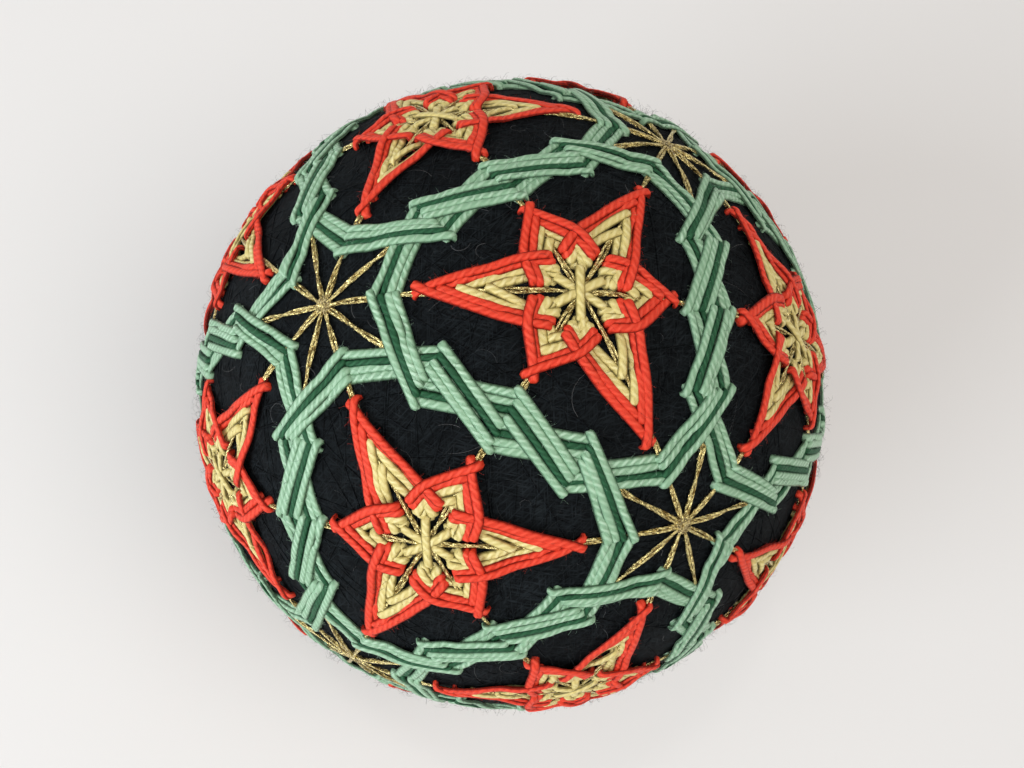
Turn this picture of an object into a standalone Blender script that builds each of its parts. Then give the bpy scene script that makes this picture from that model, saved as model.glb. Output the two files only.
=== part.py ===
# Temari ball: a ball wound with black thread, marked with gold into twelve pentagons and twenty
# triangles, with a stitched star in each triangle and a ring of green rows woven round each star.
# Metres, +Z up. The origin is the centre of the small flat spot that the ball rests on.

import math

import bmesh
import bpy
from mathutils import Matrix, Vector

# The ball, and the height of its centre over the flat spot
BALL_RADIUS = 0.042
CENTRE_HEIGHT = 0.04275
BALL_SUBDIVISIONS = 4
# Stitching lies this far off the wound thread, and crossing bands this far from each other
SEAT = 0.0004
CROSSING_GAP = 0.0003

# Stars: reach along the long arms, the short arms and the notches between them
LONG_ARM = 0.0175
SHORT_ARM = 0.0109
NOTCH = 0.0074
STAR_INNER_RADIUS = 0.004
STAR_MIDDLE_FRACTION = 0.6
STAR_CENTRE_TOP = 0.0017
STAR_EDGE_TOP = 0.0010
# Top of the star at its inner and middle loops: high where threads cross, low along the arms
STAR_TOPS = [
    {"on_notch": 0.0015, "on_arm": 0.0009},
    {"on_notch": 0.0018, "on_arm": 0.0011},
]
# The bottom star is pressed flat inside its inner loop, and stays this far off the plane outside it
FOOT_EDGE_LIFT = 0.0001

# Rings: the middle line's turns beside one edge of the division, from one pentagon to the next.
# "along" is from the middle of that edge, and "across" is toward the ring's own star.
RING_TIP_FROM_PENTAGON = 0.0074
SIDE_TURN = {"along": 0.0089, "across": -0.0021}
MIDDLE_TURN = {"along": 0.0, "across": 0.0019}
RING_WIDTH = 0.0028
RING_THICKNESS = 0.00045
# How far the flat stretch of a crossing reaches past the place where the two bands overlap
CROSSING_MARGIN = 0.00005

# Rosettes: gold rays from a pentagon's centre, long ones toward the pentagon's corners
RAY_TOWARD_STAR = 0.0050
RAY_TOWARD_EDGE = 0.0087
RAY_WIDTH = 0.0006
KNOT_RADIUS = 0.0011
KNOT_TOP = 0.0012
RAY_TOP = 0.0008

# Turn of the pattern about +Z that brings the side seen in the photograph toward -Y
FACING = math.radians(-146.9)

BLACK = (0.010, 0.011, 0.014, 1.0)
RED = (0.78, 0.065, 0.035, 1.0)
LIGHT_GREEN = (0.22, 0.50, 0.33, 1.0)
GOLD = (0.55, 0.38, 0.13, 1.0)


def clear_scene():
    for old in list(bpy.data.objects):
        bpy.data.objects.remove(old, do_unlink=True)


def material(name, colour, roughness, metallic=0.0):
    made = bpy.data.materials.new(name)
    made.use_nodes = True
    shader = made.node_tree.nodes["Principled BSDF"]
    shader.inputs["Base Color"].default_value = colour
    shader.inputs["Roughness"].default_value = roughness
    shader.inputs["Metallic"].default_value = metallic
    made.diffuse_color = colour
    return made


def division():
    """Unit vectors to the twelve pentagon centres and the twenty star centres."""
    golden = (1 + math.sqrt(5)) / 2
    pentagons = []
    for short in (-1, 1):
        for long in (-golden, golden):
            pentagons += [Vector((0, short, long)), Vector((short, long, 0)), Vector((long, 0, short))]
    pentagons = [corner.normalized() for corner in pentagons]
    stars = []
    for i, first in enumerate(pentagons):
        for j, second in enumerate(pentagons[:i]):
            for third in pentagons[:j]:
                if min(first.dot(second), second.dot(third), third.dot(first)) > 0:
                    stars.append((first + second + third).normalized())
    top = stars[0]
    beside = nearest(pentagons, top)
    upright = turn_to(top, beside).inverted()
    facing = Matrix.Rotation(FACING, 3, "Z")
    return [[facing @ upright @ way for way in ways] for ways in (pentagons, stars)]


def nearest(ways, target):
    return max(ways, key=lambda way: way.dot(target))


def turn_to(up, toward):
    """The rotation that takes +Z to up, and +X as near to toward as it can."""
    x_axis = (toward - up * toward.dot(up)).normalized()
    return Matrix((x_axis, up.cross(x_axis), up)).transposed()


def at(direction, height):
    return direction * (BALL_RADIUS + height)


def polar(bearing, reach):
    """The direction that lies an arc of reach from +Z, toward the bearing."""
    angle = reach / BALL_RADIUS
    return Vector((math.sin(angle) * math.cos(bearing), math.sin(angle) * math.sin(bearing), math.cos(angle)))


def skin(mesh, low, high):
    """A closed slab: each side is a centre point and loops outward, joined at the last loop."""
    for side, outward in ((low, False), (high, True)):
        centre, loops = side[0], side[1:]
        count = len(loops[0])
        for i in range(count):
            j = (i + 1) % count
            add_face(mesh, (centre, loops[0][i], loops[0][j]), outward)
            for inner, outer in zip(loops, loops[1:]):
                add_face(mesh, (inner[i], outer[i], outer[j], inner[j]), outward)
    rim_low, rim_high = low[-1], high[-1]
    for i in range(len(rim_low)):
        j = (i + 1) % len(rim_low)
        add_face(mesh, (rim_low[i], rim_low[j], rim_high[j], rim_high[i]), True)


def add_face(mesh, corners, outward):
    mesh.faces.new(corners if outward else tuple(reversed(corners)))


def finish_mesh(mesh, name):
    bmesh.ops.triangulate(mesh, faces=mesh.faces[:])
    bmesh.ops.recalc_face_normals(mesh, faces=mesh.faces[:])
    data = bpy.data.meshes.new(name)
    mesh.to_mesh(data)
    mesh.free()
    return data


def star_outline():
    """Bearings and reaches round a star, with a long arm toward the first pentagon."""
    outline = []
    for step in range(12):
        if step % 2:
            reach = NOTCH
        elif step % 4:
            reach = SHORT_ARM
        else:
            reach = LONG_ARM
        outline.append((math.radians(30 * step), reach))
    return outline


def star_mesh(name, pressed):
    """One star's pad. The pressed one ends in the flat spot, which is across its own axis."""

    def top(wanted, reach, in_foot):
        plane = CENTRE_HEIGHT / math.cos(reach / BALL_RADIUS) - BALL_RADIUS
        if not pressed:
            return wanted
        if in_foot:
            return plane
        return min(wanted, plane - FOOT_EDGE_LIFT)

    mesh = bmesh.new()
    axis = Vector((0, 0, 1))
    low = [mesh.verts.new(at(axis, SEAT))]
    high = [mesh.verts.new(at(axis, top(STAR_CENTRE_TOP, 0.0, True)))]
    for loop in range(3):
        low_loop = []
        high_loop = []
        for step, (bearing, outline_reach) in enumerate(star_outline()):
            reach = (STAR_INNER_RADIUS, outline_reach * STAR_MIDDLE_FRACTION, outline_reach)[loop]
            if loop == 2:
                wanted = STAR_EDGE_TOP
            else:
                wanted = STAR_TOPS[loop]["on_notch" if step % 2 else "on_arm"]
            way = polar(bearing, reach)
            low_loop.append(mesh.verts.new(at(way, SEAT)))
            high_loop.append(mesh.verts.new(at(way, top(wanted, reach, loop == 0))))
        low.append(low_loop)
        high.append(high_loop)
    skin(mesh, low, high)
    return finish_mesh(mesh, name)


def rosette_mesh(name):
    """Ten rays round a pentagon's centre, the first toward a star."""
    mesh = bmesh.new()
    axis = Vector((0, 0, 1))
    slabs = []
    for knot_top, ray_top in ((SEAT, SEAT), (KNOT_TOP, RAY_TOP)):
        centre = mesh.verts.new(at(axis, knot_top))
        roots = [
            mesh.verts.new(at(polar(math.radians(36 * ray - 18), KNOT_RADIUS), ray_top)) for ray in range(10)
        ]
        rays = []
        for ray in range(10):
            reach = RAY_TOWARD_EDGE if ray % 2 else RAY_TOWARD_STAR
            stations = (0.55 * reach, reach) if ray % 2 else (reach,)
            sides = [[], []]
            for station in stations:
                for side, sign in zip(sides, (-1, 1)):
                    bearing = math.radians(36 * ray) + sign * RAY_WIDTH / 2 / station
                    side.append(mesh.verts.new(at(polar(bearing, station), ray_top)))
            rays.append(sides)
        slabs.append((centre, roots, rays))
    for (centre, roots, rays), outward in zip(slabs, (False, True)):
        for ray, (right, left) in enumerate(rays):
            first, second = roots[ray], roots[(ray + 1) % 10]
            add_face(mesh, (centre, first, second), outward)
            for right_end, left_end in zip(right, left):
                add_face(mesh, (first, right_end, left_end, second), outward)
                first, second = right_end, left_end
    rims = []
    for centre, roots, rays in slabs:
        rim = []
        for ray, (right, left) in enumerate(rays):
            rim += [roots[ray]] + right + left[::-1]
        rims.append(rim)
    for i in range(len(rims[0])):
        j = (i + 1) % len(rims[0])
        add_face(mesh, (rims[0][i], rims[0][j], rims[1][j], rims[1][i]), True)
    return finish_mesh(mesh, name)


def ring_route():
    """The ring's stations round one star at +Z, each a direction and a level.

    Level 0 lies on the ball, 1 passes over another ring, and 0.5 is between them. Seen from outside
    and followed anticlockwise, a ring goes over, under, over and under along each of its three sides.
    """
    centre_arc = math.acos(math.sqrt((5 + 2 * math.sqrt(5)) / 15))
    corners = [polar(math.radians(120 * k), centre_arc * BALL_RADIUS) for k in range(3)]
    route = []
    for k, start in enumerate(corners):
        end = corners[(k + 1) % 3]
        middle = (start + end).normalized()
        along = (end - middle * end.dot(middle)).normalized()
        across = middle.cross(along)

        def beside(along_reach, across_reach):
            turn = along_reach / BALL_RADIUS
            lift = across_reach / BALL_RADIUS
            flat = middle * math.cos(turn) + along * math.sin(turn)
            return flat * math.cos(lift) + across * math.sin(lift)

        tips = [tip_near(pentagon) for pentagon in (start, end)]
        turns = [
            tips[0],
            beside(-SIDE_TURN["along"], SIDE_TURN["across"]),
            beside(MIDDLE_TURN["along"], MIDDLE_TURN["across"]),
            beside(SIDE_TURN["along"], SIDE_TURN["across"]),
            tips[1],
        ]
        for segment, (first, last) in enumerate(zip(turns, turns[1:])):
            route.append((first, 0.5))
            level = 1 if segment % 2 == 0 else 0
            for share in crossing_shares(first, last, across):
                route.append((first.lerp(last, share).normalized(), level))
    return route


def tip_near(pentagon):
    """The ring's turn nearest to a pentagon, on the line from it to the ring's own star at +Z."""
    line = (Vector((0, 0, 1)) - pentagon * pentagon.z).normalized()
    turn = RING_TIP_FROM_PENTAGON / BALL_RADIUS
    return pentagon * math.cos(turn) + line * math.sin(turn)


def crossing_shares(first, last, across):
    """Where the flat stretch of a crossing starts and ends, as shares of the segment."""
    heights = [way.dot(across) for way in (first, last)]
    meeting = heights[0] / (heights[0] - heights[1])
    length = (last - first).length * BALL_RADIUS
    half_angle = math.asin(abs(heights[1] - heights[0]) * BALL_RADIUS / length)
    half_width = RING_WIDTH / 2
    reach = half_width / math.sin(2 * half_angle) + half_width / math.tan(2 * half_angle) + CROSSING_MARGIN
    return [meeting - reach / length, meeting + reach / length]


def ring_mesh(name):
    """A flat band swept round the route, mitred at its turns."""
    route = ring_route()
    over = SEAT + RING_THICKNESS + CROSSING_GAP
    mesh = bmesh.new()
    sections = []
    for i, (way, level) in enumerate(route):
        before = route[i - 1][0]
        after = route[(i + 1) % len(route)][0]
        into = (way - before).normalized()
        out_of = (after - way).normalized()
        left_in = way.cross(into).normalized()
        left_out = way.cross(out_of).normalized()
        mitre = (left_in + left_out).normalized()
        half = RING_WIDTH / 2 / mitre.dot(left_in)
        bottom = SEAT + level * (over - SEAT)
        top = bottom + RING_THICKNESS
        section = []
        for side, height in ((-1, bottom), (1, bottom), (1, top), (-1, top)):
            edge = (way * BALL_RADIUS + mitre * side * half).normalized()
            section.append(mesh.verts.new(at(edge, height)))
        sections.append(section)
    for i, section in enumerate(sections):
        following = sections[(i + 1) % len(sections)]
        for corner in range(4):
            beside = (corner + 1) % 4
            mesh.faces.new((section[corner], following[corner], following[beside], section[beside]))
    return finish_mesh(mesh, name)


def place(name, data, up, toward, finish, collection):
    """An object whose mesh is built round +Z, turned to its place on the ball."""
    made = bpy.data.objects.new(name, data)
    if not data.materials:
        data.materials.append(finish)
    made.matrix_world = Matrix.Translation((0, 0, CENTRE_HEIGHT)) @ turn_to(up, toward).to_4x4()
    collection.objects.link(made)
    return made


def wound_ball(finish, collection):
    bpy.ops.mesh.primitive_ico_sphere_add(
        subdivisions=BALL_SUBDIVISIONS, radius=BALL_RADIUS, location=(0, 0, CENTRE_HEIGHT)
    )
    ball = bpy.context.object
    ball.name = "ball"
    ball.data.name = "ball"
    ball.data.shade_smooth()
    ball.data.materials.append(finish)
    for holder in list(ball.users_collection):
        holder.objects.unlink(ball)
    collection.objects.link(ball)


def main():
    clear_scene()
    collection = bpy.data.collections.new("temari_ball")
    bpy.context.scene.collection.children.link(collection)
    black = material("black_thread", BLACK, 0.8)
    red = material("red_thread", RED, 0.6)
    green = material("light_green_thread", LIGHT_GREEN, 0.6)
    gold = material("gold_thread", GOLD, 0.35, 1.0)

    pentagons, stars = division()
    stars.sort(key=lambda way: (-round(way.z, 4), math.atan2(way.y, way.x)))
    pentagons.sort(key=lambda way: (-round(way.z, 4), math.atan2(way.y, way.x)))

    wound_ball(black, collection)
    star = star_mesh("star", pressed=False)
    pressed_star = star_mesh("star_pressed", pressed=True)
    ring = ring_mesh("ring")
    for number, way in enumerate(stars, start=1):
        toward = nearest(pentagons, way)
        is_bottom = number == len(stars)
        place(f"star_{number:02d}", pressed_star if is_bottom else star, way, toward, red, collection)
        place(f"ring_{number:02d}", ring, way, toward, green, collection)
    rosette = rosette_mesh("rosette")
    for number, way in enumerate(pentagons, start=1):
        place(f"rosette_{number:02d}", rosette, way, nearest(stars, way), gold, collection)


main()
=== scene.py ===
# The looks of the temari ball: every row of thread in its stars and rings, the gold marking lines,
# the wound black thread with its lint, and the fibres that stand off it.
# Lengths are in millimetres on the ball, unless a name says otherwise, and turn into metres when a
# mesh is made. A "way" is a unit vector from the ball's centre.

import math

import bmesh
import bpy
import numpy as np
from mathutils import Matrix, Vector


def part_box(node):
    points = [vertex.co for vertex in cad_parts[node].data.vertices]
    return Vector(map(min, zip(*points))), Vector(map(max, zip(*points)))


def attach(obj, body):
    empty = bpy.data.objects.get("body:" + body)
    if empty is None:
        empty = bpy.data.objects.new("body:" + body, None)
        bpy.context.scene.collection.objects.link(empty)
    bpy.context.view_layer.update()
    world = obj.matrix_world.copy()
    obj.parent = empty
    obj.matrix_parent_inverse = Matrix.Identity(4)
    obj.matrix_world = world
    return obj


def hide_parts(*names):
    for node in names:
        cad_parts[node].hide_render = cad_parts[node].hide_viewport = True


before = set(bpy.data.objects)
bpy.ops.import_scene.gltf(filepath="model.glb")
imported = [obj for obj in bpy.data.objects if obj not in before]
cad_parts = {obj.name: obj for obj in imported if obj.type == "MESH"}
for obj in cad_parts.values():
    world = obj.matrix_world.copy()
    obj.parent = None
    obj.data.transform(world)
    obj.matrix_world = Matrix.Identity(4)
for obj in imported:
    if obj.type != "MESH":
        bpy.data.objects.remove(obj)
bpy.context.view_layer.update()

MM = 0.001
SEED = 20
BODY = "root"

# The ball as the frame has it
ball_low, ball_high = (np.array(corner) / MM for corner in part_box("ball"))
BALL_CENTRE = (ball_low + ball_high) / 2
BALL_RADIUS = (ball_high[2] - ball_low[2]) / 2
REST_HEIGHT = BALL_CENTRE[2]
# Stitching up to this high is pressed into what room there is over the flat spot
PRESSED_FROM = 2.2

# Thread as it lies once stitched
COTTON = {"width": 1.10, "thickness": 0.52, "sides": 6}
DARK_COTTON = {"width": 0.90, "thickness": 0.50, "sides": 6}
GOLD = {"width": 0.38, "thickness": 0.30, "sides": 5}
TACKING = {"width": 0.20, "thickness": 0.18, "sides": 5}
# The step between a stitch's samples, and the room for all of them
SAMPLE_STEP = 0.68
BED_ROOM = 90000
# How far the texture of a thread is shifted along it, at most
PHASES = 900
# Waves of random start begin anywhere in this range, in radians
WAVE_STARTS = 6.3
# The ends of a stitch curve down into the ball over this length, to this depth
DIVE = 0.34
DIVE_DEPTH = -0.25
END_STEPS = (0.0, 0.11, 0.24, 0.46)
# A corner is rounded by the mean of the places at these distances from it, by their weights
CORNER_WEIGHTS = ((-1.2, 1), (-0.6, 2), (0.0, 3), (0.6, 2), (1.2, 1))
# A thread under tension leaves what it crosses on a curve of this radius
TAUT_RADIUS = 4.0
# Threads side by side do not lift each other until they are this near, as a share of their widths
SIDE_BY_SIDE = 0.66
# Where one thread crosses another, both are squeezed to this share of their thickness
SQUEEZE = 0.74
# A thread on the bare ball has its middle line this high, as a share of half its thickness
SEAT_SHARE = 0.45
# Threads whose middles lie further off than this from a stitch's ends don't touch it
NEARBY = 3
# The lift where nothing lies under a thread: below any real one
NO_LIFT = -9
# A pile of crossings sinks into the soft ball: above FIRM only the share GIVE of its height is left
FIRM = 0.34
GIVE = 0.33
# A thread with another this much higher over it, within this share of its half width, is pulled this
# much further down
COVERED_FROM = 0.28
COVERED_WITHIN = 1.4
COVERED_SINKS = 0.15

# Rows of a star in the order of stitching. A long arm points to a pentagon's centre and a short one
# to the middle of an edge; "long" and "short" are where a row's two threads cross near the tip.
# Between two arms each thread crosses the notch line at "cross" from the star's centre and bends
# down to a leg on the line's far side, at "leg" from the centre and "aside" from the line.
STAR_ROWS = [
    {"colour": "yellow", "long": 8.9, "short": 5.7, "cross": 4.1, "leg": 2.6, "aside": 0.50},
    {"colour": "yellow", "long": 11.8, "short": 7.4, "cross": 4.9, "leg": 3.1, "aside": 0.95},
    {"colour": "red", "long": 13.9, "short": 8.5, "cross": 5.8, "leg": 3.8, "aside": 1.45},
    {"colour": "red", "long": 15.7, "short": 9.6, "cross": 6.6, "leg": 4.4, "aside": 1.85},
]
# Past its tip a row enters the ball: the outermost row spreads two short feet, the others hide theirs
FOOT_AHEAD = 1.00
FOOT_ASIDE = 0.62
HIDDEN_FOOT = 0.45
# How far the last stitches, laid across the star's centre, reach from it
RAY_REACH = 2.9

# Rows of a ring, outermost first, by where they turn: "tip" is from the pentagon's centre, "side" and
# "middle" are from the edge of the division, and positive toward the ring's own star.
RING_ROWS = [
    {"colour": "light", "tip": 5.96, "side": -2.94, "middle": 0.36},
    {"colour": "dark", "tip": 6.90, "side": -2.07, "middle": 1.30},
    {"colour": "light", "tip": 7.84, "side": -1.24, "middle": 2.24},
    {"colour": "light", "tip": 8.65, "side": -0.50, "middle": 3.05},
]
# A side turn lies this far along the edge from its middle, and a share of its "side" further
SIDE_ALONG = 8.9
SIDE_SLANT = 0.1
# How far a row runs past its turn: on top, under the row that turns over it, and where other rows hide it
SHOWN_STUB = 0.90
UNDER_STUB = 0.42
HIDDEN_STUB = 0.40

# Handwork: how far one stitch strays from its mark, how far a star's arm, at this reach, or a ring's
# turn strays with all its rows, and how far a stitch bows
STRAY = 0.06
ARM_STRAYS = 0.36
ARM_STRAYS_AT = 12
TURN_STRAYS = 0.19
BOW = 0.08
# How much the width varies from thread to thread, and in waves along one
WIDTH_VARIES = 0.05
SWELL = 0.03
SWELL_RATES = (0.6, 1.3)
# The two sides of a long arm bulge by this much, give or take, and those of a short one by less
ARM_BOW = 0.14
ARM_BOW_VARIES = 0.16
SHORT_BOW_SHARE = 0.4

# Gold marking lines: two strands laid side by side and turned round each other now and then
MARKING_SPREAD = 0.19
MARKING_TURN = 7.0
MARKING_STEP = 1.0
MARKING_RISE = 0.11
# Each circle's twist quickens and slows this many times, by this much, and each strand wobbles
TWIST_WAVES = 5
TWIST_WAVE = 0.8
WOBBLE = 0.05
WOBBLE_WAVES = (30, 60)
WOBBLE_STARTS = 6
# Two normals whose cosine is over this belong to the same circle
SAME_CIRCLE = 0.99
# A detour shorter than this still counts as on the line
ON_LINE = 0.8
# A line belongs to a rosette up to these distances from its centre: toward a star, and along an edge
ROSETTE_ON_LONG = 7.3
ROSETTE_ON_SHORT = 10.6
# Where the rings' rows hide a line it is pulled down to this height: on its way from a pentagon's centre
# to a star, along an edge of the division, and round that edge's middle
HIDDEN_HEIGHT = -0.25
HIDDEN_ON_LONG = (6.2, 8.6)
HIDDEN_ON_EDGE = 12.5
HIDDEN_ROUND_MIDDLE = 2.8
# The tacking at a pentagon's centre: stitches between places at shares of the reach, the second turned
# from the first by an angle in degrees
TACK_STITCHES = 20
TACK_REACH = 1.1
TACK_SHARES = (0.6, 1.1)
TACK_TURNS = (70, 150)

# Wound thread and lint
WINDING_TURNS = 200
WINDING_STATIONS = 56
WINDING_WIDTH = 0.26
WINDING_WIDTHS = (0.75, 1.15)
WINDING_ACROSS = 1.15
WINDING_THROUGH = 0.42
WINDING_LAYERS = (-0.12, -0.03)
# A turn lies this far off a great circle, sways by this much, and rises and sinks in waves
WINDING_OFF = 1.2
WINDING_SWAY = 0.5
WINDING_WAVE = 0.03
WINDING_WAVES = (3, 9)
CORE_DEPTH = -0.07
# The wound look's streaks, and the axes that they run round
STREAK_WIDTH = 0.17
STREAK_LENGTH = 3.2
STREAK_TONES = (0.54, 0.80)
STREAK_RELIEF = 0.10
STREAK_TURNS = ((0.3, 0.2, 0.0), (1.5, 0.4, 0.5), (0.7, 1.4, 1.1), (2.3, 0.8, 2.0), (1.1, 2.2, 2.9))
FUZZ = {"count": 14000, "length": (0.8, 2.2), "radius": 0.014, "rise": (0.1, 1.5), "curl": 1.5, "steps": 4}
LINT = {"count": 800, "length": (1.5, 5.5), "radius": 0.014, "rise": (0.1, 0.5), "curl": 2.5, "steps": 7}
COTTON_HAIR = {"length": (0.25, 0.62), "radius": 0.007, "rise": (0.02, 0.4), "curl": 1.2, "steps": 2}
HAIRS = {"red": 34000, "yellow": 8000, "light": 30000, "dark": 5000}
# Lint starts this high, and a hair of cotton this far from the middle of its thread
LINT_START = 0.05
HAIR_STARTS = (-0.1, 0.2)
# A hair's rise follows this much of a sine, in radians, and its tip has this share of its radius
HAIR_ARCS = (1.2, 2.6)
HAIR_TIP = 0.5

# The look of cotton, from here to FIBRES. One turn of the two plies, and how far they rise
PLY_TURN = 1.95
PLY_RISE = 0.7
# A ply is half as wide as the thread, its round top falls off by this, and the two blend over this
PLY_SHARE = 2.0
PLY_FALL = -0.5
PLY_BLEND = 0.12
# The heights of the plies that have the painted groove shade's colour and the crown's, and that start and end
# the painted highlight
BODY_HEIGHTS = (-0.35, 0.55)
PAINTED_HIGHLIGHT_HEIGHTS = (0.70, 1.08)
# The twist is uneven: noise of this rate to the millimetre turns it, in radians, and shades it
UNEVEN_RATE = 0.35
UNEVEN_TURN = 3.0
UNEVEN_SHADE = 0.35
# The twist's painted shade comes out clearly in some stretches and fades to one even shade in others
CLEAR_RATE = 0.16
CLEAR_ROW = 7.0
CLEAR_NOISE = (0.3, 0.7)
CLEAR_VARIES = 0.3
EVEN_SHADE = 0.72
# A thread's edges, where it meets its neighbours, get painted shade from this share of its half width out,
# down to this share of its groove shade's colour
PAINTED_CREASE_FROM = 0.86
PAINTED_CREASE_SHADE = 0.42
# Single fibres: the rates of their noise across and along a ply, its offset between the two, and what
# they add to the painted shade, the painted highlight and the bump
FIBRES = {
    "across": 4.5, "along": 1.1, "apart": 5.0,
    "shade": 0.7, "least_shade": 0.6, "painted_highlight": 0.45, "relief": 0.25,
}

# The gold foil: one turn, its facets' rates, the noise that gets painted shade and that gets a painted glint,
# how sharp the edges of its turns are, which get painted shade, and the heights of turns and facets in the
# bump
FOIL_TURN = 1.6
FOIL = {
    "metallic": 0.8, "facets_across": 0.30, "facets_along": 0.95, "scale": 1.7, "tones": (0.35, 0.54),
    "edge": 0.35, "turn_relief": 0.5, "facet_relief": 5.0, "relief": 0.12,
}

# The photograph's camera, about the ball's centre, in degrees and millimetres
CAMERA = {"azimuth": 0.865, "elevation": 72.41, "roll": 33.54, "field": 54.88}
SENSOR_WIDTH = 36.0
CAMERA_BACK = 140.1
CAMERA_ASIDE = 0.139
CAMERA_ABOVE = 1.324

# The floor's size in metres, and the two tones it varies between
FLOOR_SIZE = 16.0
FLOOR_TONES = ((0.772, 0.772, 0.778, 1), (0.811, 0.811, 0.818, 1))

# The room's light, and the lamps: each shines from a direction in the camera's axes, with its distance
# and size in metres and its energy in watts
ROOM_COLOUR = (1.0, 0.97, 0.94, 1)
ROOM_STRENGTH = 0.52
LIGHTS = [
    {"name": "window", "toward": (-0.75, -0.28, 0.60), "distance": 0.8, "size": 0.5, "energy": 4.6,
     "colour": (0.90, 0.96, 1.0)},
    {"name": "overhead", "toward": (0.50, -0.01, 0.87), "distance": 1.2, "size": 1.0, "energy": 5.5,
     "colour": (1.0, 0.93, 0.85)},
    {"name": "lamp", "toward": (-0.1, 0.55, 1.0), "distance": 1.1, "size": 0.10, "energy": 0.5,
     "colour": (1.0, 0.97, 0.92)},
]


def unit(vectors):
    return vectors / np.linalg.norm(vectors, axis=-1, keepdims=True)


def way_of(node):
    """The way to the middle of a node, which is symmetric about it."""
    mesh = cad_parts[node].data
    places = np.empty(len(mesh.vertices) * 3)
    mesh.vertices.foreach_get("co", places)
    return unit(places.reshape(-1, 3).mean(0) / MM - BALL_CENTRE)


STAR_NAMES = [f"star_{number:02d}" for number in range(1, 21)]
STARS = np.array([way_of(name) for name in STAR_NAMES])
ROSETTE_NAMES = [f"rosette_{number:02d}" for number in range(1, 13)]
PENTAGONS = np.array([way_of(name) for name in ROSETTE_NAMES])
# Two pentagon centres at the ends of one edge of the division lie less than a right angle apart
EDGES = [
    (first, second)
    for number, first in enumerate(PENTAGONS)
    for second in PENTAGONS[:number]
    if first @ second > 0
]
EDGE_MIDDLES = np.array([unit(first + second) for first, second in EDGES])


def tangent_axes(up, toward):
    """Rows x, y and up, with x as near to toward as it can be."""
    x_axis = unit(toward - up * (toward @ up))
    return np.array([x_axis, np.cross(up, x_axis), up])


def polar(axes, bearing, reach):
    """The way at an arc of reach from the axes' up, on a bearing in degrees from their x."""
    angle = reach / BALL_RADIUS
    turn = math.radians(bearing)
    level = math.cos(turn) * axes[0] + math.sin(turn) * axes[1]
    return math.sin(angle) * level + math.cos(angle) * axes[2]


def along_arc(start, end, distances):
    """Ways on the great circle through start and end, at distances from start."""
    axes = tangent_axes(start, end)
    angles = np.asarray(distances)[:, None] / BALL_RADIUS
    return np.cos(angles) * axes[2] + np.sin(angles) * axes[0]


def arc_length(start, end):
    return math.acos(max(-1.0, min(1.0, float(start @ end)))) * BALL_RADIUS


def rounded_path(marks, lengths, distances):
    """Ways along the great circles from mark to mark, with the corners at the marks rounded."""
    if len(marks) == 2:
        return along_arc(marks[0], marks[1], distances)
    corners = np.cumsum(lengths)[:-1]
    ways = 0
    for offset, weight in CORNER_WEIGHTS:
        moved = distances + offset
        stretch = np.searchsorted(corners, moved)
        for number, begun in enumerate(np.concatenate([[0], corners])):
            arc = along_arc(marks[number], marks[number + 1], moved - begun)
            ways = ways + weight * arc * (stretch == number)[:, None]
    return unit(ways)


def softened(values):
    """Values along a thread, each but the first and the last averaged with its neighbours."""
    values[1:-1] = (values[:-2] + 2 * values[1:-1] + values[2:]) / 4
    return values


class Thread:
    """One stitch: a run of thread by its marks, which may go on before the first and after the last."""

    def __init__(self, marks, spool, draw, before=0.0, after=0.0, bulge=0.0):
        lengths = [arc_length(start, end) for start, end in zip(marks, marks[1:])]
        first, last = -before, sum(lengths) + after
        ends = np.array(END_STEPS)
        inner_first = first + ends[-1] + SAMPLE_STEP
        inner_last = last - ends[-1] - SAMPLE_STEP / 2
        inner = np.arange(inner_first, inner_last, SAMPLE_STEP)
        self.along = np.concatenate([first + ends, inner, (last - ends)[::-1]])
        self.along.sort()
        ways = rounded_path(marks, lengths, self.along)
        self.along -= first
        share = self.along / self.along[-1]
        aside = np.cross(unit(marks[-1] - marks[0]), unit(marks[0] + marks[-1]))
        bow = draw.normal(bulge, BOW) * np.sin(math.pi * share)
        self.ways = unit(ways + aside * bow[:, None] / BALL_RADIUS)
        wide = 1 + draw.normal(0, WIDTH_VARIES)
        rate = draw.uniform(*SWELL_RATES)
        swell = 1 + SWELL * np.sin(self.along * rate + draw.uniform(0, WAVE_STARTS))
        self.half_width = spool["width"] / 2 * wide * swell
        self.half_thickness = spool["thickness"] / 2 * (2 - wide) * swell
        self.sides = spool["sides"]
        self.phase = draw.uniform(0, PHASES)
        self.heights = None


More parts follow.
